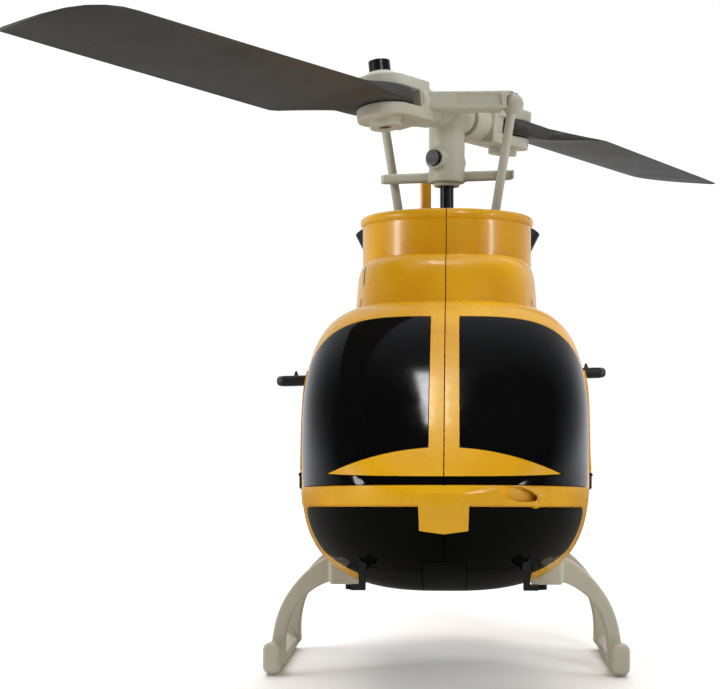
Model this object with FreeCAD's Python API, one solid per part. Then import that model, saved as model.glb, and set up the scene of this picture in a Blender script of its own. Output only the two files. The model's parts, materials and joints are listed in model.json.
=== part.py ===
"""Toy helicopter with a moulded two-half body, a two-blade collective-pitch rotor and skids.

Millimetres. The nose points along -Y, +Z is up and the ground is z = 0. Everything is drawn
with the mast axis at x = y = 0, and the whole model is then slid along Y so that the origin
lies under the centre of its bounding box. "left" is the pilot's left, which is +X.
"""
import FreeCAD
import Part
import math
import os

V = FreeCAD.Vector
X_AXIS = V(1, 0, 0)
Y_AXIS = V(0, 1, 0)
Z_AXIS = V(0, 0, 1)
FAR = 400.0                      # larger than the object

# ---- body ---------------------------------------------------------------------------------
NOSE_Y = -95.0                   # tip of the nose, ahead of the mast
CABIN_Y = -50.0                  # where the nose reaches the full cabin section
CABIN_HALF_WIDTH = 33.0
NOSE_Z = 48.0                    # height of the nose tip
CABIN_TOP = 89.6
CABIN_BOTTOM = 23.6
CABIN_MID = 52.0                 # height at which the cabin is widest
WALL = 1.4
SEAM = 0.12                      # half of the gap between the two body halves
LINE = 0.18                      # gap round each window and panel
BAND_Z, BAND_HEIGHT = 45.8, 3.9  # lower edge of the bumper band at the nose
BAND_FALL = 0.068                # how far it falls for each millimetre to the rear
SECTION_POINTS = 36
ROOF_SQUARENESS = 4.0            # exponent of the cabin's top corners
# y, half width, top, bottom, widest height, exponent of the top, exponent of the bottom
REAR_STATIONS = [
    (-30.0, 33.2, 90.3, 23.0, 52.0, ROOF_SQUARENESS, 3.2),
    (-5.0, 33.0, 90.5, 22.8, 52.5, ROOF_SQUARENESS, 3.2),
    (14.0, 31.0, 89.6, 24.0, 54.0, 3.7, 3.0),
    (30.0, 25.5, 87.5, 32.0, 60.0, 3.1, 2.6),
    (44.0, 18.0, 85.0, 45.0, 66.5, 2.5, 2.3),
    (57.0, 11.6, 83.2, 58.5, 71.0, 2.2, 2.1),
    (68.0, 8.9, 82.4, 64.6, 73.5, 2.0, 2.0),
]

# ---- cowl and hood ------------------------------------------------------------------------
HOOD_BASE, HOOD_TOP, HOOD_ROUND = 80.0, 103.3, 4.2
HOOD_SQUARENESS = 3.4
HOOD_MID_Y = -1.0
RING_RADIUS = 22.3
RING_BORE = 20.4
LIP_RADIUS = 22.95
LIP_HEIGHT = 2.6
RIM_Z = 115.9

# ---- mast, hub and rotor ------------------------------------------------------------------
SHAFT_R = 1.8
RUNNING = 0.05                   # radial clearance of a shaft in its hole
SHAFT_BOTTOM, SHAFT_TOP = 43.0, 147.2
ROTOR_AZIMUTH = 235.7            # degrees from +X to blade A
FEATHER_Z = 143.7
BLADE_PITCH = 7.2
BLADE_DROOP = 0.6
BLADE_TIP = 135.0
BLADE_LUG = 4.0                  # thickness of the root between the grip's plates
BLADE_SKIN = 1.6                 # thickness further out
LEAD_ROOT, LEAD_TIP = 6.3, 9.4   # leading edge ahead of the feathering axis
TRAIL_ROOT, TRAIL_TIP = -24.1, -15.8
BOLT_AT = (25.5, -2.0)
BOLT_R = 1.5
GRIP_GAP = 4.4
GRIP_PLATE = 3.0
GRIP_END_R = 7.0
BALL_AT = (-4.9, 17.6, -0.8)     # centre of the pitch link's upper cup, in the blade's own axes
CUP_R = 2.9
SWASH_BALL_XY = (9.7, -5.8)
SWASH_BALL_Z = 96.0
ROD_R = 1.2
HUB_R = 4.75
HUB_BOLT_Z, HUB_BOLT_AZIMUTH = 131.3, 57.9
BAR_Z = 127.0

# ---- drive --------------------------------------------------------------------------------
GEAR_TEETH, PINION_TEETH, MODULE = 80, 10, 0.5
GEAR_Z, GEAR_THICK = 52.0, 3.5
MOTOR_R = 6.0
SERVO_ARM = 8.0

# ---- tail ---------------------------------------------------------------------------------
BOOM_START, BOOM_END = 68.1, 150.0
BOOM_R0, BOOM_R1 = 8.85, 4.3
BOOM_Z0, BOOM_Z1 = 73.5, 77.5
STABILISER_Y, STABILISER_SPAN, STABILISER_Z = 80.0, 53.0, 75.8
TAIL_ROTOR_AT = (10.5, 147.0, 80.0)
TAIL_ROTOR_R = 21.0

# ---- landing gear -------------------------------------------------------------------------
SKID_X, SKID_WIDTH, SKID_HEIGHT = 42.6, 4.2, 4.6
SKID_Y = (-34.0, 11.0)
LEG_Y = (-28.5, 8.0)
LEG_DEPTH = 5.0


# ---- small helpers ------------------------------------------------------------------------
def box(x0, x1, y0, y1, z0, z1):
    return Part.makeBox(x1 - x0, y1 - y0, z1 - z0, V(x0, y0, z0))


def rod(radius, start, end):
    axis = V(*end) - V(*start)
    return Part.makeCylinder(radius, axis.Length, V(*start), axis)


def disc(radius, z0, z1, x=0.0, y=0.0):
    return Part.makeCylinder(radius, z1 - z0, V(x, y, z0))


def ball(radius, centre):
    return Part.makeSphere(radius, V(*centre))


def prism(points, plane, low, high):
    """A polygon in the xz, yz or xy plane, extruded along the third axis."""
    place = {
        "xz": lambda a, b: V(a, low, b),
        "yz": lambda a, b: V(low, a, b),
        "xy": lambda a, b: V(a, b, low),
    }[plane]
    along = {"xz": Y_AXIS, "yz": X_AXIS, "xy": Z_AXIS}[plane]
    corners = [place(*p) for p in points]
    face = Part.Face(Part.makePolygon(corners + corners[:1]))
    return face.extrude(along * (high - low))


def edges_prism(edges, along):
    return Part.Face(Part.Wire(edges)).extrude(along)


def spline(points):
    curve = Part.BSplineCurve()
    curve.interpolate([V(*p) for p in points])
    return curve.toShape()


def fuse(first, *others):
    return first.fuse(list(others)).removeSplitter()


def turned(shape, degrees, axis=Z_AXIS, centre=V(0, 0, 0)):
    copy = shape.copy()
    copy.rotate(centre, axis, degrees)
    return copy


def mirrored(shape):
    return shape.mirror(V(0, 0, 0), X_AXIS)


def rounded_box(x0, x1, y0, y1, z0, z1, radius):
    block = box(x0, x1, y0, y1, z0, z1)
    return block.makeFillet(radius, block.Edges)


def half_space(side):
    """Everything on one side of the centre seam."""
    if side > 0:
        return box(SEAM, FAR, -FAR, FAR, -FAR, FAR)
    return box(-FAR, -SEAM, -FAR, FAR, -FAR, FAR)


# ---- body surface -------------------------------------------------------------------------
def power_point(angle, half_width, top, bottom, mid, n_top, n_bottom):
    cosine, sine = math.cos(angle), math.sin(angle)
    n = n_top if sine >= 0 else n_bottom
    height = (top - mid) if sine >= 0 else (mid - bottom)
    across = math.copysign(abs(cosine) ** (2.0 / n), cosine) * half_width
    up = math.copysign(abs(sine) ** (2.0 / n), sine) * height
    return across, mid + up


def loft_sections(sections):
    """A solid through closed sections; one common set of knots keeps its surface light."""
    widest = max(sections, key=lambda points: max(abs(p.x) for p in points))
    knots = [0.0]
    for a, b in zip(widest, widest[1:] + widest[:1]):
        knots.append(knots[-1] + (b - a).Length)
    wires = []
    for points in sections:
        curve = Part.BSplineCurve()
        curve.interpolate(Points=points, PeriodicFlag=True, Parameters=knots)
        wires.append(Part.Wire(curve.toShape()))
    return Part.makeLoft(wires, True)


def section_points(y, *shape):
    points = []
    for k in range(SECTION_POINTS):
        x, z = power_point(2 * math.pi * k / SECTION_POINTS, *shape)
        points.append(V(x, y, z))
    return points


def nose_station(s, inset):
    """Body section at the fraction s of the way from the nose tip to the cabin."""
    y = NOSE_Y + inset + s * (CABIN_Y - NOSE_Y - inset)
    wide = (1 - (1 - s) ** 2.2) ** (1 / 2.2)
    high = (1 - (1 - s) ** 1.25) ** 0.9
    deep = (1 - (1 - s) ** 2.0) ** 0.5
    mid = NOSE_Z + (CABIN_MID - NOSE_Z) * s
    top = NOSE_Z + (CABIN_TOP - inset - NOSE_Z) * high
    bottom = NOSE_Z - (NOSE_Z - CABIN_BOTTOM - inset) * deep
    half_width = (CABIN_HALF_WIDTH - inset) * wide
    top = max(top, mid + 0.2)
    bottom = min(bottom, mid - 0.2)
    top_exponent = 2.2 + (ROOF_SQUARENESS - 2.2) * min(1.0, s / 0.6)
    return y, half_width, top, bottom, mid, top_exponent, 2.2 + 0.8 * s


def body_solid(inset):
    stations = [nose_station(s, inset) for s in (0.004, 0.02, 0.06, 0.13, 0.24, 0.4, 0.6, 0.8, 1.0)]
    for y, half_width, top, bottom, mid, n_top, n_bottom in REAR_STATIONS:
        stations.append((y, half_width - inset, top - inset, bottom + inset, mid, n_top, n_bottom))
    return loft_sections([section_points(*s) for s in stations])


def hood_solid(inset):
    sections = []
    top = HOOD_TOP - inset
    round_from = top - HOOD_ROUND
    rounding = [round_from + HOOD_ROUND * share for share in (0.0, 0.5, 0.8, 0.99)]
    for z in (HOOD_BASE, 86.0, 92.0, *rounding):
        climb = (z - HOOD_BASE) / (HOOD_TOP - HOOD_BASE)
        over = max(0.0, z - round_from) / HOOD_ROUND
        shrink = HOOD_ROUND * (1 - math.sqrt(max(0.0, 1 - over * over))) + inset
        half_width = 24.2 - 2.0 * climb - shrink
        half_length = 46.0 - 11.0 * climb - shrink
        points = []
        for k in range(SECTION_POINTS):
            x, y = power_point(2 * math.pi * k / SECTION_POINTS, half_width, half_length,
                               -half_length, 0.0, HOOD_SQUARENESS, HOOD_SQUARENESS)
            points.append(V(x, y + HOOD_MID_Y, z))
        sections.append(points)
    return loft_sections(sections)


def ring_solid():
    """The round cowl with its rolled lip, solid all through."""
    neck, crown = V(RING_RADIUS, 0, RIM_Z - LIP_HEIGHT), V(RING_RADIUS - 0.4, 0, RIM_Z)
    lip = Part.Arc(neck, V(LIP_RADIUS, 0, RIM_Z - LIP_HEIGHT / 2), crown).toShape()
    corners = [crown, V(0, 0, RIM_Z), V(0, 0, 92), V(RING_RADIUS, 0, 92), neck]
    sides = [Part.LineSegment(a, b).toShape() for a, b in zip(corners, corners[1:])]
    profile = Part.Face(Part.Wire([lip] + sides))
    return profile.revolve(V(0, 0, 0), Z_AXIS, 360)


def body_shell(outer, inner):
    skin_out = outer.fuse([hood_solid(0.0), ring_solid()])
    skin_in = inner.fuse([hood_solid(WALL), disc(RING_BORE, 88, RIM_Z + 2)])
    return skin_out.cut(skin_in)


# ---- outlines of the windows and panels, all grown or shrunk by `gap` -----------------------
def band_edge(y, above):
    """Height of a line `above` the lower edge of the bumper band, which falls to the rear."""
    return BAND_Z - BAND_FALL * (y - NOSE_Y) + above


def windscreen_outline(gap):
    low = BAND_HEIGHT + 0.2 - gap
    points = [(-130, band_edge(-130, low)), (-66.5 + gap, band_edge(-66.5, low)),
              (-62.5 + gap, 54), (-58.5 + gap, 66), (-56 + gap, 76), (-55.5 + gap, 130),
              (-130, 130)]
    return prism(points, "yz", -FAR, FAR)


def pillar_outline(gap):
    """The centre pillar and the crescent below it, seen from the front."""
    low, tip, rise = 51.6 - gap, 24.7 + 4 * gap, 57.4 + gap
    arc = Part.Arc(V(-tip, -130, low), V(0, -130, rise), V(tip, -130, low)).toShape()
    line = Part.LineSegment(V(tip, -130, low), V(-tip, -130, low)).toShape()
    crescent = edges_prism([arc, line], Y_AXIS * 90)
    pillar = box(-3.2 - gap, 3.2 + gap, -130, -40, 54, 130)
    return crescent.fuse(pillar)


def belly_outline(gap, front_slot=0.0):
    """The belly panel; `front_slot` widens the gap between its front edge and the chin."""
    wide, front = 19.0 + gap, -84 - gap + front_slot
    points = [(-wide, -76 - gap), (-wide + 5, front), (wide - 5, front), (wide, -76 - gap),
              (wide, 18 + gap), (wide - 4, 24 + gap), (-wide + 4, 24 + gap), (-wide, 18 + gap)]
    return prism(points, "xy", 0, 31.5 + gap)


def hatch_outline(gap):
    return box(-4.8 - gap, 4.8 + gap, -90 - gap, -62 + gap, 0, 33.5 + gap)


def chin_outline(gap):
    high = -0.3 + gap
    points = [(-130, band_edge(-130, high)), (-69 + gap, band_edge(-69, high)),
              (-67.5 + gap, 42), (-67.5 + gap, 34), (-71 + gap, 29.5 - gap), (-130, 20)]
    return prism(points, "yz", -FAR, FAR)


def rounded_outline(y0, y1, z0, z1, lean, round_off):
    """A rounded four-sided outline in the side view; its top leans back by `lean`."""
    points = [(y0 + round_off, z0), (y1 - round_off, z0), (y1, z0 + round_off),
              (y1 + lean * 0.3, z1 - round_off), (y1 + lean * 0.3 - round_off, z1),
              (y0 + lean + round_off, z1), (y0 + lean, z1 - round_off), (y0, z0 + round_off)]
    return prism(points, "yz", -FAR, FAR)


def frame_outline(gap):
    return rounded_outline(-51 - gap, -15 + gap, 48.3 - gap, 74.5 + gap, 5.0, 3.5)


def front_window_outline(gap):
    return rounded_outline(-46 - gap, -19 + gap, 52 - gap, 71 + gap, 4.0, 3.0)


def rear_window_outline(gap):
    return rounded_outline(-10 - gap, 12 + gap, 53 - gap, 70 + gap, 2.0, 3.0)


def nose_bumper(skin_outside, clear):
    """The band round the nose, its pointed centre tab and a scooped lamp boss on the left."""
    rear = -71
    band = prism([(-130, band_edge(-130, 0)), (rear, band_edge(rear, 0)),
                  (rear, band_edge(rear, BAND_HEIGHT)), (-130, band_edge(-130, BAND_HEIGHT))],
                 "yz", -FAR, FAR)
    tab = prism([(-5.2, 47), (-5.0, 40.5), (0, 39.8), (5.0, 40.5), (5.2, 47)], "xz", -130, -64)
    boss = ball(2.5, (18.7, -87.5, 47.1)).cut(clear)
    scoop = rod(1.6, (11.0, -97.0, 49.2), (18.6, -88.2, 46.9))
    return skin_outside.common(band.fuse(tab)).fuse(boss).cut(scoop)


def body_parts(nodes):
    outer, inner = body_solid(0.0), body_solid(WALL)
    shell = body_shell(outer, inner)
    proud = body_solid(-1.3)
    frame_skin = body_solid(-0.8)
    clear = body_solid(-0.05)

    pillar = pillar_outline(0.0)
    windscreen_hole = windscreen_outline(0.0).cut(pillar)
    pane_zone = windscreen_outline(-LINE).cut(pillar_outline(LINE))
    belly_hole, belly_zone = belly_outline(0.0), belly_outline(-LINE, 0.6)
    hatch_hole, hatch_zone = hatch_outline(0.0), hatch_outline(-LINE)
    chin_hole = chin_outline(0.0).cut(belly_outline(0.0)).cut(hatch_hole)
    chin_zone = chin_outline(-LINE).cut(belly_outline(0.0)).cut(hatch_hole)

    windows = [windscreen_hole, belly_hole, hatch_hole, chin_hole,
               front_window_outline(0.0), rear_window_outline(0.0)]
    post_seat = guide_post().makeOffsetShape(0.12, 0.01)
    pipes = [exhaust_pipe(3.4), mirrored(exhaust_pipe(3.4))]
    screw_holes = [disc(1.1, 20, 34, x, y) for x in (23, -23) for y in LEG_Y]
    yellow = shell.cut(windows + [post_seat] + pipes + screw_holes)
    shell_halves = {1: shell.common(half_space(1)), -1: shell.common(half_space(-1))}

    for side, name in ((1, "left"), (-1, "right")):
        half = shell_halves[side]
        nodes["fuselage_" + name] = yellow.common(half_space(side))
        nodes["windscreen_" + name] = half.common(pane_zone)
        nodes["chin_window_" + name] = half.common(chin_zone)
        nodes["side_window_" + name] = half.common(front_window_outline(-LINE))
        nodes["rear_window_" + name] = half.common(rear_window_outline(-LINE))
        surround = frame_skin.cut(clear).common(frame_outline(0.0)).cut(front_window_outline(0.3))
        nodes["window_frame_" + name] = surround.common(half_space(side))

    lower = shell.common(belly_zone).cut(hatch_hole)
    nodes["belly_panel"] = lower
    nodes["battery_hatch"] = shell.common(hatch_zone)
    nodes["nose_bumper"] = nose_bumper(proud.cut(clear), clear)
    nodes["band_hooks"] = band_hooks(clear)


def band_hooks(outer_skin):
    """Two L-shaped hooks under the nose that the battery strap loops round."""
    hooks = []
    for side in (1, -1):
        block = box(16.6, 18.4, -79.6, -76.0, 30.6, 33.4)
        stem = box(16.9, 18.3, -79.2, -76.6, 26.6, 32.0)
        foot = box(16.9, 20.0, -79.2, -76.6, 26.6, 27.7)
        hook = fuse(block, stem, foot)
        hooks.append(hook if side > 0 else mirrored(hook))
    return Part.makeCompound(hooks).cut(outer_skin)


def guide_post():
    post = box(-1.25, 1.25, 18.9, 20.9, 96.0, 129.0)
    return turned(post, 17.5)


# ---- exhausts and tail --------------------------------------------------------------------
def exhaust_pipe(radius, start=0.0, end=1.0):
    """A round length of the left exhaust between two fractions of its axis."""
    low, high = V(13.0, 27.0, 96.0), V(23.3, 30.0, 116.5)
    axis = high - low
    return rod(radius, tuple(low + axis * start), tuple(low + axis * end))


def exhaust():
    return exhaust_pipe(3.3).cut(exhaust_pipe(2.3, 0.5, 1.1))


def boom(inset):
    wires = []
    for y, radius, z in ((BOOM_START, BOOM_R0, BOOM_Z0), (BOOM_END, BOOM_R1, BOOM_Z1)):
        wires.append(Part.Wire(Part.makeCircle(radius - inset, V(0, y, z), Y_AXIS)))
    return Part.makeLoft(wires, True, True)


def fin():
    """Vertical fin: swept upper and lower surfaces round the boom's end."""
    points = [(134, 76), (150, 108), (161, 108), (156, 80), (160, 56), (152, 54), (140, 72)]
    plate = prism(points, "yz", -1.2, 1.2)
    return plate.cut(boom(-0.1))


def tail_rotor():
    x, y, z = TAIL_ROTOR_AT
    blades = []
    for side in (1, -1):
        blade = prism([(-2.2, 3.0), (2.6, 3.0), (3.6, TAIL_ROTOR_R - 3), (1.6, TAIL_ROTOR_R),
                       (-3.0, TAIL_ROTOR_R)], "yz", -0.5, 0.5)
        blade.rotate(V(0, 0, 0), Z_AXIS, 12)
        blades.append(turned(blade, 0 if side > 0 else 180, X_AXIS))
    hub = rod(3.0, (-2.0, 0, 0), (2.0, 0, 0))
    arm = box(-1.0, 1.0, -2.0, 2.0, -5.0, 5.0)
    rotor = fuse(hub, arm, *blades)
    rotor.translate(V(x, y, z))
    return rotor.cut(rod(0.55, (x - 5, y, z), (x + 1.0, y, z)))


def tail_parts(nodes):
    x, y, z = TAIL_ROTOR_AT
    nodes["exhaust_left"] = exhaust()
    nodes["exhaust_right"] = mirrored(exhaust())
    motor_can = rod(4.0, (1.6, y, z), (7.2, y, z)).fuse(rod(0.5, (7.2, y, z), (x + 0.8, y, z)))
    tube = boom(0.0).cut(boom(1.0))
    tube = tube.cut(rod(4.1, (1.2, y, z), (20, y, z)))
    nodes["tail_fin"] = fin().cut(rod(4.1, (-5, y, z), (20, y, z)))
    plate = prism([(-STABILISER_SPAN, STABILISER_Y + 4), (-STABILISER_SPAN + 2, STABILISER_Y),
                   (STABILISER_SPAN - 2, STABILISER_Y), (STABILISER_SPAN, STABILISER_Y + 4),
                   (STABILISER_SPAN, STABILISER_Y + 15), (-STABILISER_SPAN, STABILISER_Y + 15)],
                  "xy", STABILISER_Z - 1.6, STABILISER_Z + 1.6)
    plate = plate.makeFillet(1.3, plate.Edges)
    nodes["stabiliser"] = plate
    tube = tube.cut(plate)
    nodes["tail_boom"] = tube
    nodes["tail_motor"] = motor_can
    nodes["tail_rotor"] = tail_rotor()


# ---- landing gear -------------------------------------------------------------------------
def leg(y):
    outer = spline([(24.0, 0, 30.3), (30.9, 0, 28.0), (35.4, 0, 24.4), (39.0, 0, 20.0),
                    (41.6, 0, 14.5), (42.9, 0, 8.0), (43.2, 0, 2.2)])
    inner = spline([(39.6, 0, 2.2), (39.5, 0, 9.5), (37.6, 0, 15.6), (33.6, 0, 20.2),
                    (28.2, 0, 23.0), (22.2, 0, 23.2)])
    ends = [Part.LineSegment(V(43.2, 0, 2.2), V(39.6, 0, 2.2)).toShape(),
            Part.LineSegment(V(22.2, 0, 23.2), V(24.0, 0, 30.3)).toShape()]
    profile = Part.Face(Part.Wire([outer, ends[0], inner, ends[1]]))
    strap = profile.extrude(Y_AXIS * LEG_DEPTH)
    strap.translate(V(0, y - LEG_DEPTH / 2, 0))
    return strap


def landing_gear(outer_skin):
    y0, y1 = SKID_Y
    half = SKID_WIDTH / 2
    land = 1.2                   # half width of the flat that meets the ground
    points = [(SKID_X - land, 0), (SKID_X + land, 0), (SKID_X + half, 1.4),
              (SKID_X + half, SKID_HEIGHT - 1), (SKID_X + half - 1, SKID_HEIGHT),
              (SKID_X - half + 1, SKID_HEIGHT), (SKID_X - half, SKID_HEIGHT - 1),
              (SKID_X - half, 1.4)]
    runner = prism(points, "xz", y0 + 2, y1)
    toe = box(SKID_X - half, SKID_X + half, y0, y0 + 4.0, 0.9, 8.0)
    toe = toe.makeFillet(1.3, [edge for edge in toe.Edges if edge.BoundBox.YLength > 3.9])
    foot_plates = []
    for y in LEG_Y:
        foot_plates.append(box(20.8, 28.4, y - 4.0, y + 4.0, 22.4, 29.5))
    gear = fuse(runner, toe, leg(LEG_Y[0]), leg(LEG_Y[1]), *foot_plates)
    gear = gear.cut(outer_skin)
    for y in LEG_Y:
        gear = gear.cut(disc(1.1, 20, 31, 23.0, y))
    return gear


def gear_screws():
    screws = []
    for y in LEG_Y:
        for x in (23.0, -23.0):
            head = disc(1.9, 20.9, 22.3, x, y).cut(disc(0.8, 20.8, 21.7, x, y))
            screws.append(head.fuse(disc(1.0, 22.3, 33.0, x, y)))
    return Part.makeCompound(screws)


# ---- chassis and drive --------------------------------------------------------------------
def main_frame():
    floor = box(-23, 23, -32, 24.5, 41.5, 43.5)
    cheeks = [box(21.5, 23, -32, 24.5, 43.5, 59), box(-23, -21.5, -32, 24.5, 43.5, 59)]
    motor_plate = box(-23, 23, -32, -9, 57, 59)
    column = box(-7, 7, 21.5, 24.5, 43.5, 86)
    upper = box(-9, 9, -8, 24.5, 83, 86)
    lower_boss = disc(6.0, 43.5, 47.0)
    upper_boss = disc(6.0, 81.5, 86.5)
    posts = [disc(2.4, 29.4, 41.5, x, y) for x in (23, -23) for y in LEG_Y]
    frame = fuse(floor, *cheeks, motor_plate, column, upper, lower_boss, upper_boss, *posts)
    holes = [disc(4.02, 43.4, 48), disc(4.02, 82.9, 88), disc(2.6, 41, 90),
             disc(3.2, 56, 60, 0, -motor_distance()), box(-3, 3, 9.0, 15.0, 82, 87)]
    holes += [disc(1.05, 28, 36, x, y) for x in (23, -23) for y in LEG_Y]
    room = body_solid(WALL + 0.1).fuse(hood_solid(WALL + 0.1))
    return frame.cut(holes).common(room)


def motor_distance():
    return MODULE * (GEAR_TEETH + PINION_TEETH) / 2


def gear_blank(teeth, z0, z1, phase):
    """A spur gear with straight-sided teeth; `phase` is in tooth pitches."""
    pitch_radius = MODULE * teeth / 2
    tip, root = pitch_radius + 0.36, pitch_radius - 0.52
    step = 2 * math.pi / teeth
    points = []
    for k in range(teeth):
        centre = (k + phase) * step
        for part, radius in ((-0.26, root), (-0.13, tip), (0.13, tip), (0.26, root)):
            points.append((radius * math.cos(centre + part * step),
                           radius * math.sin(centre + part * step)))
    return prism(points, "xy", z0, z1)


def bearing(z0, z1):
    return disc(4.0, z0, z1).cut(disc(SHAFT_R + RUNNING, z0 - 1, z1 + 1))


def drive_parts(nodes):
    reach = motor_distance()
    nodes["main_frame"] = main_frame()
    nodes["bearing_lower"] = bearing(43.5, 46.5)
    nodes["bearing_upper"] = bearing(83.0, 86.0)
    nodes["main_shaft"] = disc(SHAFT_R, SHAFT_BOTTOM, SHAFT_TOP).cut(hub_bolt(0.05))
    # a tooth of the gear points at the motor, and a gap of the pinion faces it
    gear = gear_blank(GEAR_TEETH, GEAR_Z, GEAR_Z + GEAR_THICK, 0.0)
    hub = disc(4.2, 48.5, GEAR_Z + GEAR_THICK + 2)
    lightening = [turned(disc(3.6, 50, 57, 12, 0), 60 * k) for k in range(6)]
    gear = gear.cut(lightening).fuse(hub).cut(disc(SHAFT_R + 0.02, 40, 70))
    nodes["main_gear"] = gear
    nodes["shaft_collar"] = disc(3.6, 78.4, 81.2).cut(disc(SHAFT_R + 0.02, 70, 90))
    can = disc(MOTOR_R, 59.2, 84, 0, -reach).fuse(disc(2.9, 56.9, 59.2, 0, -reach))
    nodes["main_motor"] = can.cut(disc(0.8, 56, 70, 0, -reach))
    pinion = gear_blank(PINION_TEETH, GEAR_Z - 0.8, 56.0, 0.0)
    pinion = pinion.fuse(disc(0.75, 51.0, 69, 0, 0))
    pinion.translate(V(0, -reach, 0))
    nodes["motor_pinion"] = pinion
    nodes["battery"] = rounded_box(-12, 12, -44, 4, 26.8, 40.3, 2.0)
    nodes["control_board"] = control_board()


def control_board():
    board = box(-13, 13, -60, -35, 60, 61.2)
    chips = [box(-8, 0, -56, -48, 61.2, 62.4), box(3, 9, -55, -49, 61.2, 62.6),
             box(-10, 10, -42, -37, 61.2, 65.2)]
    return fuse(board, *chips)


# ---- servos and swashplate ------------------------------------------------------------------
def servo(angle):
    case = rounded_box(13.2, 21.2, -12.0, 4.0, 60.0, 78.0, 0.8)
    tabs = box(15.0, 19.5, -14.5, 6.5, 72.2, 73.4)
    shaft = rod(0.9, (11.0, -SERVO_ARM, 74.0), (14.0, -SERVO_ARM, 74.0))
    return turned(fuse(case, tabs, shaft), angle)


def servo_arm(angle):
    arm = fuse(rod(2.0, (11.2, -SERVO_ARM, 74.0), (12.6, -SERVO_ARM, 74.0)),
               rod(1.7, (11.2, 0, 74.0), (12.6, 0, 74.0)),
               box(11.2, 12.6, -SERVO_ARM, 0, 72.9, 75.1))
    arm = arm.cut([rod(0.95, (10, -SERVO_ARM, 74.0), (14, -SERVO_ARM, 74.0)),
                   rod(0.9, (10, 0, 74.0), (14, 0, 74.0))])
    return turned(arm, angle)


def servo_link(angle):
    link = fuse(box(9.9, 10.9, -0.9, 0.9, 72.9, 90.6),
                rod(0.6, (10.0, 0, 74.0), (12.8, 0, 74.0)),
                ball(1.5, (10.4, 0, 90.4)))
    return turned(link, angle)


SERVO_ANGLES = {"left": 0, "right": 180, "rear": 90}


def swash_lower():
    ring = disc(8.6, 89.6, 92.4).cut(disc(3.25, 88, 95))
    pins = [turned(rod(0.9, (8.0, 0, 91.0), (10.4, 0, 91.0)), a) for a in (0, 180, 90)]
    guide = turned(rod(0.9, (8.0, 0, 91.0), (16.5, 0, 91.0)), 107.5)
    eyes = [turned(ball(1.62, (10.4, 0, 90.4)), a) for a in (0, 180, 90)]
    return ring.fuse(pins + [guide]).cut(eyes).cut(disc(3.25, 88, 95))


def swash_upper():
    ring = disc(8.2, 93.0, 96.4).cut(disc(3.45, 92, 98))
    arms = []
    for side in (1, -1):
        x, y = SWASH_BALL_XY[0] * side, SWASH_BALL_XY[1] * side
        arms.append(rod(1.2, (x * 0.5, y * 0.5, 94.6), (x, y, 94.6)))
        arms.append(rod(0.9, (x, y, 94.0), (x, y, SWASH_BALL_Z)))
    plate = ring.fuse(arms).cut(disc(3.45, 92, 98))
    sockets = [ball(2.3, (SWASH_BALL_XY[0] * s, SWASH_BALL_XY[1] * s, SWASH_BALL_Z + 2.0))
               for s in (1, -1)]
    return plate.cut(sockets)


def link_rod(which):
    """A pitch link: a thin rod with a cup at each end; the upper one takes the grip's stud."""
    side = 1 if which == "a" else -1
    low = V(SWASH_BALL_XY[0] * side, SWASH_BALL_XY[1] * side, SWASH_BALL_Z + 2.0)
    high = on_rotor(Part.Vertex(V(*BALL_AT)), which).Point
    link = fuse(rod(ROD_R, tuple(low), tuple(high)), ball(2.2, tuple(low)), ball(CUP_R, tuple(high)))
    return link.cut(on_rotor(stud(1.15, -0.9), which))


def control_parts(nodes):
    for name, angle in SERVO_ANGLES.items():
        nodes["servo_" + name] = servo(angle)
        nodes["servo_arm_" + name] = servo_arm(angle)
        nodes["servo_link_" + name] = servo_link(angle)
    sleeve = disc(3.2, 88.8, 97.2).cut(disc(SHAFT_R + RUNNING, 80, 100))
    nodes["swash_sleeve"] = sleeve
    nodes["swash_lower"] = swash_lower()
    nodes["swash_upper"] = swash_upper()
    nodes["link_rod_a"] = link_rod("a")
    nodes["link_rod_b"] = link_rod("b")
    nodes["guide_post"] = guide_post()


# ---- rotor head ---------------------------------------------------------------------------
def on_rotor(shape, which):
    """Places a shape drawn along +X (span), +Y (leading edge) and +Z on blade A or B."""
    placed = turned(shape, BLADE_PITCH, X_AXIS)
    placed = turned(placed, ROTOR_AZIMUTH + (0 if which == "a" else 180))
    placed.translate(V(0, 0, FEATHER_Z))
    return placed


def rotor_hub():
    """The upright barrel, the cross barrel for the grips, and the guide bar below them."""
    upright = disc(HUB_R, 125.4, FEATHER_Z + 4.0)
    cross = turned(rod(4.2, (-7.4, 0, FEATHER_Z), (7.4, 0, FEATHER_Z)), ROTOR_AZIMUTH)
    spindle = turned(rod(2.0, (-15.5, 0, FEATHER_Z), (15.5, 0, FEATHER_Z)), ROTOR_AZIMUTH)
    bar = box(-17.7, 17.7, -1.2, 1.2, BAR_Z - 1.3, BAR_Z + 1.3)
    bar = turned(bar.makeFillet(0.8, bar.Edges), -11.5)
    bosses = fuse(hub_bolt_rod(2.9, -6.2, 0), hub_bolt_rod(2.7, 0, 5.5), disc(3.4, 124.4, 126.0))
    prong = box(16.9, 17.7, -5.4, -3.0, BAR_Z - 1.1, BAR_Z + 1.1)
    hub = fuse(upright, cross, spindle, bar, bosses, prong, turned(prong, 180))
    return hub.cut([disc(SHAFT_R + 0.02, 120, SHAFT_TOP + 0.2), hub_bolt(0.05)])


def hub_bolt_rod(radius, start, end):
    """A round length along the clamping screw, which crosses the mast from the front right."""
    length = rod(radius, (start, 0, HUB_BOLT_Z), (end, 0, HUB_BOLT_Z))
    return turned(length, HUB_BOLT_AZIMUTH)


def hub_bolt(grow=0.0):
    return fuse(hub_bolt_rod(2.0 + grow, -7.1, -4.6), hub_bolt_rod(0.9 + grow, -7.0, 5.4))


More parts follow.
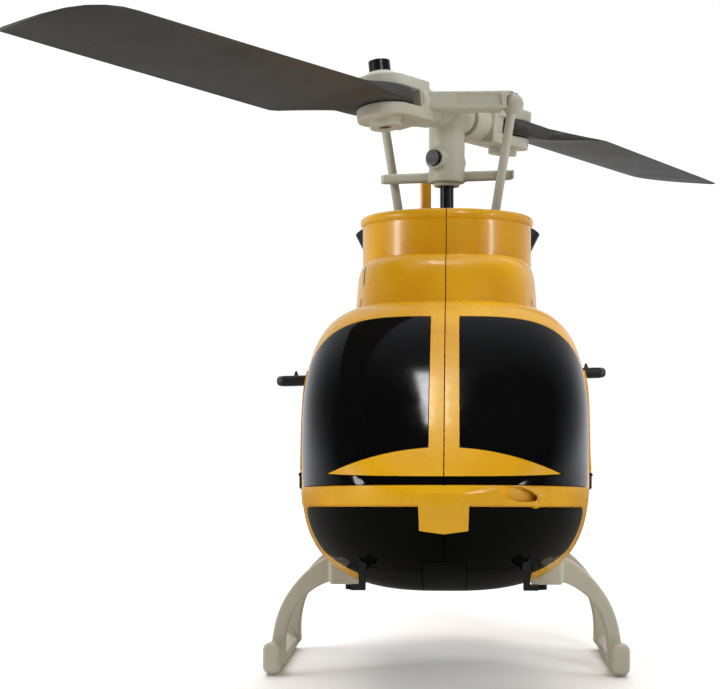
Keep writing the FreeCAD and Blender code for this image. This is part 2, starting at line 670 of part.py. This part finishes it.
def stud(radius, start):
    """The round stud on the grip's arm, on the line from the cup's centre to the blade root."""
    centre, toward = V(*BALL_AT), V(0.80, -0.60, 0)
    return rod(radius, tuple(centre + toward * start), tuple(centre + toward * 4.4))


def grip_arm():
    """Pitch arm from the blade root to the stud, with a shallow pocket in its outer face."""
    length, half_width = 23.6, 2.5
    arm = box(0, length, -half_width, half_width, -2.4, 2.4)
    arm = arm.makeFillet(0.7, arm.Edges)
    pocket = box(7.0, length - 4.0, -half_width - 1, -half_width + 0.6, -1.5, 1.5)
    arm = turned(arm.cut(pocket), 143.2)
    arm.translate(V(BALL_AT[0] + length * 0.8, BALL_AT[1] - length * 0.6, 0))
    arm = arm.cut(ball(CUP_R + 0.6, BALL_AT))
    return arm.fuse(stud(0.7, 0.0))


def blade_grip():
    height = GRIP_GAP / 2 + GRIP_PLATE
    barrel = Part.makeCone(4.8, 5.7, 9.8, V(8.2, 0, 0), X_AXIS)
    plates = []
    for low, high in ((-height, -GRIP_GAP / 2), (GRIP_GAP / 2, height)):
        outline = [(14.0, -6.0), (25.5, -9.0), (25.5, 5.0), (14.0, 5.0)]
        plates.append(prism(outline, "xy", low, high))
        plates.append(disc(GRIP_END_R, low, high, *BOLT_AT))
    web = box(14.0, 18.6, -6.0, 5.0, -height, height)
    mound = Part.makeCone(5.8, 3.2, 1.8, V(BOLT_AT[0], BOLT_AT[1], height))
    boss = disc(4.0, -height - 2.0, -height, *BOLT_AT)
    grip = fuse(barrel, *plates, web, mound, boss, grip_arm())
    slot = box(18.6, 40, -14, 12, -GRIP_GAP / 2, GRIP_GAP / 2)
    holes = [slot, disc(BOLT_R + RUNNING, -12, 12, *BOLT_AT),
             rod(2.0 + RUNNING, (0, 0, 0), (16, 0, 0))]
    return grip.cut(holes)


def blade():
    """Blade with a thick lug at its root; its planform has a raked round tip."""
    tip_arc = Part.Arc(V(122, LEAD_TIP - 0.1, 0), V(131.2, 5.2, 0), V(134.2, -5, 0)).toShape()
    corners = [V(134.2, -5, 0), V(BLADE_TIP, TRAIL_TIP, 0), V(43, TRAIL_ROOT, 0), V(33, -11.7, 0),
               V(24, -11.8, 0), V(20.4, -8.5, 0), V(20.4, 3.2, 0), V(23.2, 6.0, 0),
               V(45, LEAD_ROOT, 0), V(122, LEAD_TIP - 0.1, 0)]
    sides = [Part.LineSegment(a, b).toShape() for a, b in zip(corners, corners[1:])]
    plan = Part.Face(Part.Wire([tip_arc] + sides))
    skin = plan.extrude(Z_AXIS * BLADE_SKIN)
    skin.translate(V(0, 0, -BLADE_SKIN / 2))
    root = plan.extrude(Z_AXIS * BLADE_LUG)
    root.translate(V(0, 0, -BLADE_LUG / 2))
    taper = prism([(20, -2), (32, -2), (46, -0.8), (46, 0.8), (32, 2), (20, 2)], "xz", -40, 40)
    solid = skin.fuse(root.common(taper)).removeSplitter()
    droop = turned(solid, BLADE_DROOP, Y_AXIS, V(BOLT_AT[0], 0, 0))
    return droop.cut(disc(BOLT_R + RUNNING, -9, 9, *BOLT_AT))


def blade_bolt():
    """A cap screw from above; it threads into the boss under the grip's lower plate."""
    height = GRIP_GAP / 2 + GRIP_PLATE
    head = disc(2.75, height + 1.85, height + 4.8, *BOLT_AT)
    socket = disc(1.3, height + 3.3, height + 5.3, *BOLT_AT)
    shank = disc(BOLT_R, -height - 1.6, height + 1.85, *BOLT_AT)
    return head.fuse(shank).cut(socket)


def rotor_parts(nodes):
    nodes["rotor_hub"] = rotor_hub()
    nodes["hub_bolt"] = hub_bolt()
    for which in ("a", "b"):
        nodes["blade_grip_" + which] = on_rotor(blade_grip(), which)
        nodes["blade_" + which] = on_rotor(blade(), which)
        nodes["blade_bolt_" + which] = on_rotor(blade_bolt(), which)


def main():
    nodes = {}
    body_parts(nodes)
    tail_parts(nodes)
    nodes["landing_gear_left"] = landing_gear(body_solid(-0.1))
    nodes["landing_gear_right"] = mirrored(nodes["landing_gear_left"])
    nodes["gear_screws"] = gear_screws()
    drive_parts(nodes)
    control_parts(nodes)
    rotor_parts(nodes)

    extent = FreeCAD.BoundBox()
    for shape in nodes.values():
        extent.add(shape.optimalBoundingBox(False, False))
    shift = V(-(extent.XMin + extent.XMax) / 2, -(extent.YMin + extent.YMax) / 2, -extent.ZMin)
    os.makedirs("parts", exist_ok=True)
    for name, shape in nodes.items():
        placed = shape.copy()
        placed.translate(shift)
        placed.exportStep("parts/%s.step" % name)
        solids = len(placed.Solids)
        if solids != 1 or not placed.isValid():
            print("%-20s solids %d valid %s" % (name, solids, placed.isValid()))
    print("nodes", len(nodes), "shift", shift)
    print("size", extent.XLength, extent.YLength, extent.ZLength)


main()
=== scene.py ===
"""Looks of the toy helicopter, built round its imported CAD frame. Metres, nose towards -Y."""
import json
import math

import bpy
import bmesh
from mathutils import Matrix, Vector

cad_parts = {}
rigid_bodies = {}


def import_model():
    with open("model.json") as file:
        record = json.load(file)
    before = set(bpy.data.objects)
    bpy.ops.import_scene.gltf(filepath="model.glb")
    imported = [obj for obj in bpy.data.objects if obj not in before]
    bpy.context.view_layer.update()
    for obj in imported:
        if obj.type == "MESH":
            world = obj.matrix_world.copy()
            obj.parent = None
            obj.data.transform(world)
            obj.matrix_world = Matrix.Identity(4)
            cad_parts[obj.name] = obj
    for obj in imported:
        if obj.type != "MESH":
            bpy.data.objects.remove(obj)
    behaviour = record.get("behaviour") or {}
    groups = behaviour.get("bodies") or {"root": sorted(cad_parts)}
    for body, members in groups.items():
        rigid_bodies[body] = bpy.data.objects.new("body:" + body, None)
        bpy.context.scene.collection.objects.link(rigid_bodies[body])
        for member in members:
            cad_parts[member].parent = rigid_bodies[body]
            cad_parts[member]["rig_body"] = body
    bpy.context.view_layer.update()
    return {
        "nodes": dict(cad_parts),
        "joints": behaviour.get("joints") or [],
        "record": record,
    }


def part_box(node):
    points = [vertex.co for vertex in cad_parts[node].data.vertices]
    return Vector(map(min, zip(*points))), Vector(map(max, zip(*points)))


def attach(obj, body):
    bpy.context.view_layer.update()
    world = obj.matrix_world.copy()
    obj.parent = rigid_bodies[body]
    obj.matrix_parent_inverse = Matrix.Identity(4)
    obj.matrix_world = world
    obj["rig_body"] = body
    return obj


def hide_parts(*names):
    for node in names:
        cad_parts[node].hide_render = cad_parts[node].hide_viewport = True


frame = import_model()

RECORD = frame["record"]
NODES = frame["nodes"]
JOINTS = {joint["name"]: joint for joint in frame["joints"]}
MM = 0.001
MAST = Vector(JOINTS["rotor_spin"]["pos_m"])
MAST.z = 0.0


def at(x, y, z):
    """A point in millimetres measured from the foot of the mast axis."""
    return MAST + Vector((x, y, z)) * MM


# ---- camera, floor and light ----------------------------------------------------------------
SENSOR_WIDTH, LENS = 36.0, 75.0        # millimetres
CAMERA_AT = at(2.7, -399.0, 65.1)
LOOK_LEFT = math.radians(1.413)
SHIFT = (-0.0833, 0.0910)            # the picture is a crop, high and to the left of the lens axis


def make_camera():
    data = bpy.data.cameras.new("camera")
    data.sensor_fit = "HORIZONTAL"
    data.sensor_width = SENSOR_WIDTH
    data.lens = LENS
    data.shift_x, data.shift_y = SHIFT
    data.clip_start = 0.01
    camera = bpy.data.objects.new("camera", data)
    direction = Vector((-math.tan(LOOK_LEFT), 1.0, 0.0))
    camera.location = CAMERA_AT
    camera.rotation_euler = direction.to_track_quat("-Z", "Y").to_euler()
    bpy.context.scene.collection.objects.link(camera)
    bpy.context.scene.camera = camera


def area_light(name, place, target, size, power, glints=True):
    """A rectangular lamp; without `glints` it lights the object but shows in no reflection."""
    data = bpy.data.lights.new(name, "AREA")
    data.shape = "RECTANGLE"
    data.size, data.size_y = size
    data.energy = power
    light = bpy.data.objects.new(name, data)
    light.visible_glossy = glints
    light.location = place
    light.rotation_euler = (target - place).to_track_quat("-Z", "Y").to_euler()
    bpy.context.scene.collection.objects.link(light)


def make_lights():
    aim = at(0, -20, 70)
    area_light("overhead", at(-60, 120, 900), aim, (0.9, 0.7), 8.0, glints=False)
    area_light("fill_left", at(-900, -330, 330), aim, (0.6, 0.9), 4.5, glints=False)
    area_light("fill_right", at(950, -250, 300), aim, (0.6, 0.9), 3.8, glints=False)
    area_light("streak_left", at(-900, -330, 240), aim, (0.16, 0.20), 1.5)
    area_light("streak_right", at(900, -480, 240), aim, (0.10, 0.20), 1.0)
    area_light("key", at(330, -900, 620), aim, (0.16, 0.30), 2.6)
    # seen as the upright glint on the left windscreen beside the pillar
    area_light("window_glint", at(-26, -80, 900), at(-26, -20, 70), (0.022, 0.18), 0.32)
    area_light("back", at(100, 900, 600), aim, (1.2, 0.8), 6.0, glints=False)


def make_world():
    """White for the camera; for the object, a dim room with a bright wall behind it."""
    world = bpy.data.worlds.new("studio")
    bpy.context.scene.world = world
    world.use_nodes = True
    nodes, links = world.node_tree.nodes, world.node_tree.links
    nodes.clear()
    output = nodes.new("ShaderNodeOutputWorld")
    mix = nodes.new("ShaderNodeMixShader")
    path = nodes.new("ShaderNodeLightPath")
    place = nodes.new("ShaderNodeTexCoord")
    split = nodes.new("ShaderNodeSeparateXYZ")
    links.new(place.outputs["Generated"], split.inputs[0])
    ramp = nodes.new("ShaderNodeMapRange")
    for socket, value in (("From Min", 0.05), ("From Max", 0.85), ("To Min", 0.06),
                          ("To Max", 0.8)):
        ramp.inputs[socket].default_value = value
    links.new(split.outputs["Y"], ramp.inputs["Value"])
    room = nodes.new("ShaderNodeBackground")
    room.inputs["Color"].default_value = (0.92, 0.95, 1.0, 1)
    links.new(ramp.outputs["Result"], room.inputs["Strength"])
    white = nodes.new("ShaderNodeBackground")
    white.inputs["Color"].default_value = (1, 1, 1, 1)
    white.inputs["Strength"].default_value = 1.05
    links.new(path.outputs["Is Camera Ray"], mix.inputs["Fac"])
    links.new(room.outputs["Background"], mix.inputs[1])
    links.new(white.outputs["Background"], mix.inputs[2])
    links.new(mix.outputs["Shader"], output.inputs["Surface"])


FLOOR_SOLID, FLOOR_REACH = 0.22, 0.62      # metres: full strength inside, gone at its edge


def make_floor():
    """A round pale floor that fades out, so that no horizon shows behind the object."""
    def disc(made):
        bmesh.ops.create_circle(made, cap_ends=True, segments=96, radius=FLOOR_REACH)

    floor = mesh_object("floor", disc)
    material, shader = new_material("floor_white", (0.90, 0.90, 0.90), 0.6)
    nodes, links = material.node_tree.nodes, material.node_tree.links
    place = nodes.new("ShaderNodeTexCoord")
    reach = nodes.new("ShaderNodeVectorMath")
    reach.operation = "LENGTH"
    links.new(place.outputs["Object"], reach.inputs[0])
    fade = span(material, reach.outputs["Value"], FLOOR_SOLID, FLOOR_REACH, 0.0, 1.0)
    clear = nodes.new("ShaderNodeBsdfTransparent")
    mix = nodes.new("ShaderNodeMixShader")
    links.new(fade, mix.inputs["Fac"])
    links.new(shader.outputs["BSDF"], mix.inputs[1])
    links.new(clear.outputs["BSDF"], mix.inputs[2])
    # glossy surfaces see a dark floor, so that the black windows stay black
    dark = nodes.new("ShaderNodeBsdfDiffuse")
    dark.inputs["Color"].default_value = (0.10, 0.10, 0.09, 1)
    path = nodes.new("ShaderNodeLightPath")
    choose = nodes.new("ShaderNodeMixShader")
    links.new(path.outputs["Is Glossy Ray"], choose.inputs["Fac"])
    links.new(mix.outputs["Shader"], choose.inputs[1])
    links.new(dark.outputs["BSDF"], choose.inputs[2])
    links.new(choose.outputs["Shader"], nodes["Material Output"].inputs["Surface"])
    floor.data.materials.append(material)


# ---- materials --------------------------------------------------------------------------------
def new_material(name, colour, roughness):
    material = bpy.data.materials.new(name)
    material.use_nodes = True
    shader = material.node_tree.nodes["Principled BSDF"]
    shader.inputs["Base Color"].default_value = (*colour, 1)
    shader.inputs["Roughness"].default_value = roughness
    return material, shader


def noise(material, scale, detail=3.0, roughness=0.5):
    """Noise in the object's own coordinates; `scale` is in features per metre."""
    nodes, links = material.node_tree.nodes, material.node_tree.links
    texture = nodes.new("ShaderNodeTexNoise")
    texture.inputs["Scale"].default_value = scale
    texture.inputs["Detail"].default_value = detail
    texture.inputs["Roughness"].default_value = roughness
    place = nodes.new("ShaderNodeTexCoord")
    links.new(place.outputs["Object"], texture.inputs["Vector"])
    return texture.outputs["Fac"]


def span(material, source, low, high, out_low, out_high):
    """Maps a value from low..high to out_low..out_high."""
    node = material.node_tree.nodes.new("ShaderNodeMapRange")
    for socket, value in (("From Min", low), ("From Max", high), ("To Min", out_low),
                          ("To Max", out_high)):
        node.inputs[socket].default_value = value
    material.node_tree.links.new(source, node.inputs["Value"])
    return node.outputs["Result"]


def blend_colours(material, factor, first, second):
    node = material.node_tree.nodes.new("ShaderNodeMix")
    node.data_type = "RGBA"
    node.inputs[6].default_value = (*first, 1)
    node.inputs[7].default_value = (*second, 1)
    material.node_tree.links.new(factor, node.inputs["Factor"])
    return node.outputs[2]


def bump(material, shader, height, strength, distance):
    nodes, links = material.node_tree.nodes, material.node_tree.links
    node = nodes.new("ShaderNodeBump")
    node.inputs["Strength"].default_value = strength
    node.inputs["Distance"].default_value = distance
    links.new(height, node.inputs["Height"])
    links.new(node.outputs["Normal"], shader.inputs["Normal"])


def moulded(name, colour, shade, roughness, grain, grain_depth, coat=0.0):
    """Moulded plastic: slow colour variation, uneven gloss and a fine skin texture."""
    material, shader = new_material(name, colour, sum(roughness) / 2)
    links = material.node_tree.links
    mottle = span(material, noise(material, 45.0, 4.0), 0.35, 0.65, 0.0, 1.0)
    links.new(blend_colours(material, mottle, colour, shade), shader.inputs["Base Color"])
    polish = span(material, noise(material, 160.0, 6.0, 0.7), 0.3, 0.7, *roughness)
    links.new(polish, shader.inputs["Roughness"])
    bump(material, shader, noise(material, grain, 2.0), 0.25, grain_depth)
    shader.inputs["Coat Weight"].default_value = coat
    shader.inputs["Coat Roughness"].default_value = 0.08
    return material, shader


def make_yellow():
    material, shader = moulded("yellow_plastic", (0.70, 0.360, 0.002), (0.58, 0.275, 0.002),
                               (0.24, 0.34), 900.0, 0.00003, coat=0.25)
    shader.inputs["Subsurface Weight"].default_value = 0.06
    shader.inputs["Subsurface Radius"].default_value = (0.0012, 0.0006, 0.0001)
    return material


def make_black_gloss():
    material, shader = moulded("black_gloss", (0.0012, 0.0012, 0.0012), (0.002, 0.002, 0.0022),
                               (0.05, 0.11), 250.0, 0.00001)
    shader.inputs["IOR"].default_value = 1.33
    return material


def make_nylon():
    material, shader = moulded("ivory_nylon", (0.50, 0.485, 0.395), (0.40, 0.388, 0.305),
                               (0.36, 0.52), 1500.0, 0.00005)
    shader.inputs["Subsurface Weight"].default_value = 0.25
    shader.inputs["Subsurface Radius"].default_value = (0.0022, 0.0018, 0.0012)
    return material


def make_metal(name, colour, roughness, metallic=1.0):
    material, shader = new_material(name, colour, roughness)
    links = material.node_tree.links
    polish = span(material, noise(material, 700.0, 4.0, 0.7), 0.3, 0.7, roughness * 0.8,
                  roughness * 1.25)
    links.new(polish, shader.inputs["Roughness"])
    shader.inputs["Metallic"].default_value = metallic
    bump(material, shader, noise(material, 2500.0, 2.0), 0.2, 0.00002)
    return material


MATERIALS = {
    "yellow_plastic": make_yellow(),
    "black_gloss": make_black_gloss(),
    "black_plastic": moulded("black_plastic", (0.010, 0.010, 0.011), (0.015, 0.015, 0.016),
                             (0.36, 0.52), 2600.0, 0.00004)[0],
    "ivory_nylon": make_nylon(),
    "blade_grey": moulded("blade_grey", (0.044, 0.042, 0.041), (0.054, 0.052, 0.050),
                          (0.40, 0.50), 3200.0, 0.00004)[0],
    # painted shade: the darker amber that stands for the shade in the hood's screw recesses
    "hood_recess_painted_shade": moulded("hood_recess_painted_shade", (0.52, 0.215, 0.002), (0.46, 0.185, 0.002),
                          (0.30, 0.42), 900.0, 0.00003)[0],
    "black_steel": make_metal("black_steel", (0.008, 0.008, 0.009), 0.30, 0.3),
    "bright_steel": make_metal("bright_steel", (0.58, 0.58, 0.60), 0.28),
    "brass": make_metal("brass", (0.70, 0.48, 0.18), 0.25),
    "battery_film": moulded("battery_film", (0.03, 0.05, 0.12), (0.04, 0.06, 0.14),
                            (0.15, 0.25), 400.0, 0.00005)[0],
    "circuit_board": moulded("circuit_board", (0.01, 0.12, 0.04), (0.01, 0.10, 0.03),
                             (0.3, 0.4), 900.0, 0.00003)[0],
}


# ---- pieces ---------------------------------------------------------------------------------
CAD_CREASE, MESH_CREASE, SOFT_CREASE, BLADE_CREASE = 30.0, 35.0, 80.0, 40.0   # degrees


def finish_piece(obj, body, slot, crease=MESH_CREASE):
    obj.data.materials.clear()
    obj.data.materials.append(MATERIALS[slot])
    smooth(obj, crease)
    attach(obj, body)
    return obj


def smooth(obj, crease):
    obj.data.shade_smooth()
    obj.data.set_sharp_from_angle(angle=math.radians(crease))


def mesh_object(name, mesh_maker):
    mesh = bpy.data.meshes.new(name)
    made = bmesh.new()
    mesh_maker(made)
    bmesh.ops.recalc_face_normals(made, faces=made.faces)
    made.to_mesh(mesh)
    made.free()
    obj = bpy.data.objects.new(name, mesh)
    bpy.context.scene.collection.objects.link(obj)
    return obj


def dress_cad_nodes():
    for entry in RECORD["subparts"]:
        obj = NODES[entry["node"]]
        obj.data.materials.clear()
        obj.data.materials.append(MATERIALS[entry["material_slot"]])
        smooth(obj, CAD_CREASE)


# ---- moulded nylon pieces ---------------------------------------------------------------------
def soften(node, cell_mm, rounds):
    """Stands in for a CAD piece with the rounded corners and soft hollows of a moulding."""
    source = NODES[node]
    draft = bpy.data.objects.new("draft", source.data.copy())
    bpy.context.scene.collection.objects.link(draft)
    made = bmesh.new()
    made.from_mesh(draft.data)
    bmesh.ops.remove_doubles(made, verts=made.verts, dist=0.002 * MM)
    made.to_mesh(draft.data)
    made.free()
    remesh = draft.modifiers.new("cells", "REMESH")
    remesh.mode = "VOXEL"
    remesh.voxel_size = cell_mm * MM
    relax = draft.modifiers.new("relax", "SMOOTH")
    relax.factor = 0.5
    relax.iterations = rounds
    depsgraph = bpy.context.evaluated_depsgraph_get()
    mesh = bpy.data.meshes.new_from_object(draft.evaluated_get(depsgraph))
    bpy.data.objects.remove(draft)
    mesh.name = "moulded_" + node
    piece = bpy.data.objects.new("moulded_" + node, mesh)
    bpy.context.scene.collection.objects.link(piece)
    finish_piece(piece, source["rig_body"], "ivory_nylon", SOFT_CREASE)
    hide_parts(node)


# node: cell size in mm, smoothing rounds
MOULDINGS = {
    "rotor_hub": (0.22, 7),
    "blade_grip_a": (0.22, 7),
    "blade_grip_b": (0.22, 7),
    "link_rod_a": (0.20, 3),
    "link_rod_b": (0.20, 3),
    "landing_gear_left": (0.30, 4),
    "landing_gear_right": (0.30, 4),
}


def soften_mouldings():
    for node, (cell_mm, rounds) in MOULDINGS.items():
        soften(node, cell_mm, rounds)


# ---- small details set onto the CAD surface, in mm from the mast's foot ------------------------
FORWARD, INWARD = Vector((0, 1, 0)), Vector((1, 0, 0))
AHEAD, ASIDE = -200.0, -90.0             # where the rays that find the surface start
# painted shade marks on the hood: screw recesses as darker amber spots, a narrow gap as a row of
# black beads
RECESS_SHADE_X, RECESS_SHADE_Z, RECESS_SHADE_RADII = 21.2, 91.5, (1.0, 1.4, 0.12)
SLIT_SHADE_X, SLIT_SHADE_RADII = -20.2, (0.3, 0.9, 0.05)
SLIT_SHADE_HEIGHTS = (96.4, 97.4, 98.4, 99.4, 100.2)
RIVET_HEIGHTS = (45.4, 43.7, 42.0, 40.2, 38.9, 37.5, 35.9, 34.0)
RIVET_REACHES = (-52.0, -46.0, -40.0, -34.0, -28.0)
RIVET_RADII = (0.75, 0.55, 0.35)
LATCH_PLATE = ((32.9, -53.6, 48.6), (1.3, 2.6, 3.4), 0.25)      # centre, sides, rounding
LATCH_KNOB = ((33.4, -53.2, 50.2), (0.9, 1.6, 0.9), 0.2)
STAY_TOP_X, STAY_TOP_Z, STAY_FOOT, STAY_RADIUS = 19.0, 36.4, (17.8, -79.4, 32.6), 0.16


def surface_at(node, start, direction):
    """Where a ray from `start` first meets a CAD piece, and the surface normal there."""
    found, place, normal, _ = NODES[node].ray_cast(start, direction)
    if not found:
        raise ValueError(f"the ray misses {node}")
    return place, normal


def bead(made, place, normal, radii, upright=Vector((0, 0, 1))):
    """An ellipsoid on a surface; `radii` in mm run across, along `upright` and outwards."""
    outward = normal.normalized()
    across = upright.cross(outward).normalized()
    turn = Matrix((across, outward.cross(across), outward)).transposed().to_4x4()
    size = Matrix.Diagonal((*(radius * MM for radius in radii), 1))
    bmesh.ops.create_uvsphere(made, u_segments=20, v_segments=12, radius=1.0,
                              matrix=Matrix.Translation(place) @ turn @ size)


def block(made, centre, sides, rounding):
    """A box in mm measured from the mast's foot, with rounded edges."""
    matrix = Matrix.Translation(at(*centre)) @ Matrix.Diagonal((*(s * MM for s in sides), 1))
    corners = bmesh.ops.create_cube(made, size=1.0, matrix=matrix)["verts"]
    edges = {edge for corner in corners for edge in corner.link_edges}
    bmesh.ops.bevel(made, geom=list(edges), offset=rounding * MM, segments=3, affect="EDGES")


def thin_rod(made, start, end, radius):
    axis = end - start
    turn = axis.to_track_quat("Z", "Y").to_matrix().to_4x4()
    bmesh.ops.create_cone(made, cap_ends=True, segments=16, radius1=radius * MM,
                          radius2=radius * MM, depth=axis.length,
                          matrix=Matrix.Translation((start + end) / 2) @ turn)


# darker amber spots painted on the hood where its screw recesses hold shade: painted shade
def hood_recess_shade_spots(made):
    for side in (1, -1):
        place, normal = surface_at("fuselage_left" if side > 0 else "fuselage_right",
                                   at(side * RECESS_SHADE_X, AHEAD, RECESS_SHADE_Z), FORWARD)
        bead(made, place, normal, RECESS_SHADE_RADII)


# a row of black beads painted on the hood where a narrow gap holds shade: painted shade
def hood_slit_painted_shade(made):
    for height in SLIT_SHADE_HEIGHTS:
        place, normal = surface_at("fuselage_right", at(SLIT_SHADE_X, AHEAD, height), FORWARD)
        bead(made, place, normal, SLIT_SHADE_RADII)


def edge_rivets(made):
    for height in RIVET_HEIGHTS:
        for reach in RIVET_REACHES:
            place, normal = surface_at("fuselage_right", at(ASIDE, reach, height), INWARD)
            bead(made, place, normal, RIVET_RADII)


def window_latches(made):
    for side in (1, -1):
        for (x, y, z), sides, rounding in (LATCH_PLATE, LATCH_KNOB):
            block(made, (side * x, y, z), sides, rounding)


def hook_stays(made):
    for side in (1, -1):
        node = "chin_window_left" if side > 0 else "chin_window_right"
        top, _ = surface_at(node, at(side * STAY_TOP_X, AHEAD, STAY_TOP_Z), FORWARD)
        x, y, z = STAY_FOOT
        thin_rod(made, top, at(side * x, y, z), STAY_RADIUS)


def add_details():
    for name, maker, slot in (("hood_recess_shade_spots", hood_recess_shade_spots, "hood_recess_painted_shade"),
                              ("hood_slit_painted_shade", hood_slit_painted_shade, "black_plastic"),
                              ("edge_rivets", edge_rivets, "yellow_plastic"),
                              ("window_latches", window_latches, "black_plastic"),
                              ("hook_stays", hook_stays, "black_plastic")):
        finish_piece(mesh_object(name, maker), "airframe", slot)


STABILISER_ROLL = math.radians(-1.5)     # it sits a little askew in the boom
STABILISER_SLIP = -2.5                   # mm sideways
NUB_X, NUB_BASE, NUB_TIP, NUB_HEIGHT = 47.0, 0.9, 0.25, 1.8     # mm


def settle_stabiliser():
    low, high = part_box("stabiliser")
    middle = (low + high) / 2
    settle = (Matrix.Translation(middle + Vector((STABILISER_SLIP * MM, 0, 0)))
              @ Matrix.Rotation(STABILISER_ROLL, 4, "Y") @ Matrix.Translation(-middle))

    def make(made):
        made.from_mesh(NODES["stabiliser"].data)
        for side in (1, -1):
            centre = Vector((middle.x + side * NUB_X * MM, middle.y, high.z + 0.7 * MM))
            bmesh.ops.create_cone(made, cap_ends=True, segments=16, radius1=NUB_BASE * MM,
                                  radius2=NUB_TIP * MM, depth=NUB_HEIGHT * MM,
                                  matrix=Matrix.Translation(centre))
        bmesh.ops.transform(made, matrix=settle, verts=made.verts)

    piece = mesh_object("stabiliser_plate", make)
    finish_piece(piece, "airframe", "black_plastic")
    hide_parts("stabiliser")


# ---- rotor blades -----------------------------------------------------------------------------
LUG_THICK, SKIN_THICK = 4.0, 1.6
DROOP = math.radians(0.6)
BOLT_SPAN = 25.5
TIP_SPAN = 135.0
# span, leading edge, trailing edge, measured from the feathering axis
PLANFORM = [
    (20.4, 3.2, -8.0), (21.6, 4.9, -9.9), (23.2, 6.0, -11.3), (25.0, 6.1, -11.8),
    (31.5, 6.2, -11.8), (33.4, 6.2, -12.2), (36.0, 6.25, -15.2), (39.5, 6.3, -19.8),
    (42.0, 6.3, -22.9), (44.0, 6.35, -24.0), (46.5, 6.4, -23.85), (80.0, 7.6, -20.8),
    (120.0, 9.2, -17.2), (124.0, 9.05, -16.8), (127.5, 7.9, -16.5), (130.5, 5.6, -16.2),
    (132.6, 2.2, -16.0), (133.9, -2.6, -15.9), (134.5, -8.0, -15.85), (134.9, -13.5, -15.8),
]


def edge_at(span_mm, column):
    for first, second in zip(PLANFORM, PLANFORM[1:]):
        if span_mm <= second[0]:
            share = (span_mm - first[0]) / (second[0] - first[0])
            return first[column] + share * (second[column] - first[column])
    return PLANFORM[-1][column]


def smoothstep(low, high, value):
    share = min(1.0, max(0.0, (value - low) / (high - low)))
    return share * share * (3 - 2 * share)


def aerofoil(share):
    """Half thickness of the section from the leading edge (0) to the trailing edge (1)."""
    root = 0.2969 * math.sqrt(share) - 0.1260 * share - 0.3516 * share ** 2
    return (root + 0.2843 * share ** 3 - 0.1015 * share ** 4) / 0.1


def blade_frame(which):
    feather = JOINTS["feather_" + which]
    along = Vector(feather["axis"]).normalized()
    normal = Vector(JOINTS["blade_fold_" + which]["axis"]).normalized()
    lead = normal.cross(along)
    return Matrix((along, lead, normal)).transposed().to_4x4(), Vector(feather["pos_m"])


def blade_mesh(which):
    turn, centre = blade_frame(which)
    chord_points = 22
    spans = [first[0] + (second[0] - first[0]) * k / steps
             for first, second in zip(PLANFORM, PLANFORM[1:])
             for steps in [max(2, int((second[0] - first[0]) / 1.6))] for k in range(steps)]
    spans.append(PLANFORM[-1][0])

    def make(made):
        rings = []
        for reach in spans:
            lead, trail = edge_at(reach, 1), edge_at(reach, 2)
            thin = smoothstep(30.0, 45.0, reach)
            tip_fade = 1 - 0.55 * smoothstep(118.0, TIP_SPAN, reach)
            ring = []
            for k in range(2 * chord_points):
                angle = math.pi * k / chord_points
                share = (1 - math.cos(angle)) / 2
                side = 1 if k <= chord_points else -1
                block = (1 - abs(2 * share - 1) ** 7) ** (1 / 7) * LUG_THICK / 2
                foil = max(aerofoil(share), 0.12) * SKIN_THICK / 2 * tip_fade
                height = side * (block * (1 - thin) + foil * thin)
                chord = lead + (trail - lead) * share
                droop = -math.tan(DROOP) * (reach - BOLT_SPAN)
                local = Vector((reach, chord, height + droop)) * MM
                ring.append(made.verts.new(centre + turn @ local))
            rings.append(ring)
        count = len(rings[0])
        for first, second in zip(rings, rings[1:]):
            for k in range(count):
                made.faces.new((first[k], first[(k + 1) % count], second[(k + 1) % count],
                                second[k]))
        made.faces.new(rings[0])
        made.faces.new(rings[-1])

    return make


def make_blades():
    for which in ("a", "b"):
        piece = mesh_object("rotor_blade_" + which, blade_mesh(which))
        finish_piece(piece, "blade_" + which, "blade_grey", BLADE_CREASE)
        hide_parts("blade_" + which)


# ---- build ----------------------------------------------------------------------------------
bpy.context.scene.view_settings.view_transform = "Standard"
make_camera()
make_world()
make_lights()
make_floor()
dress_cad_nodes()
make_blades()
soften_mouldings()
add_details()
settle_stabiliser()
